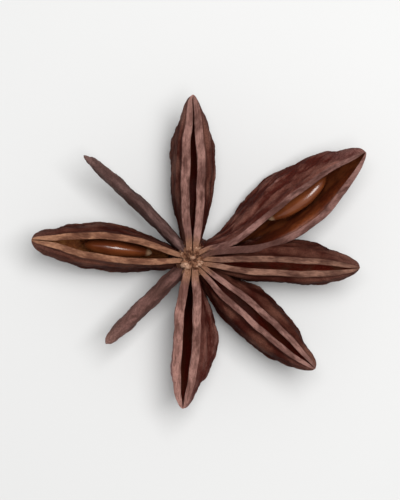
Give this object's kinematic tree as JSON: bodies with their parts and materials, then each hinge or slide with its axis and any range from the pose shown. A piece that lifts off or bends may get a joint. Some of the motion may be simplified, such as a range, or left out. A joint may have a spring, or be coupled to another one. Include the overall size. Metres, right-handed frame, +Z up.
{
  "type": "star anise pod",
  "caption": "Dried star-shaped spice pod: boat-shaped woody carpels in a ring round a short column, split along their upper seams, with a glossy seed lying in each of the widest.",
  "frame": {"origin": "centre of the stalk scar on the underside, at the height the pod stands on", "axes": "+Z up, out of the split side of the pod; +Y along the carpel with the long narrow beak; the largest carpel points between +X and +Y"},
  "size_m": [0.0307, 0.0289, 0.008],
  "materials": {
    "husk": "dry, matt, finely wrinkled red-brown husk",
    "seed_coat": "smooth glossy chestnut seed coat"
  },
  "bodies": {
    "root": {"pod": "husk", "seed_west": "seed_coat", "seed_north_east": "seed_coat"}
  },
  "joints": []
}
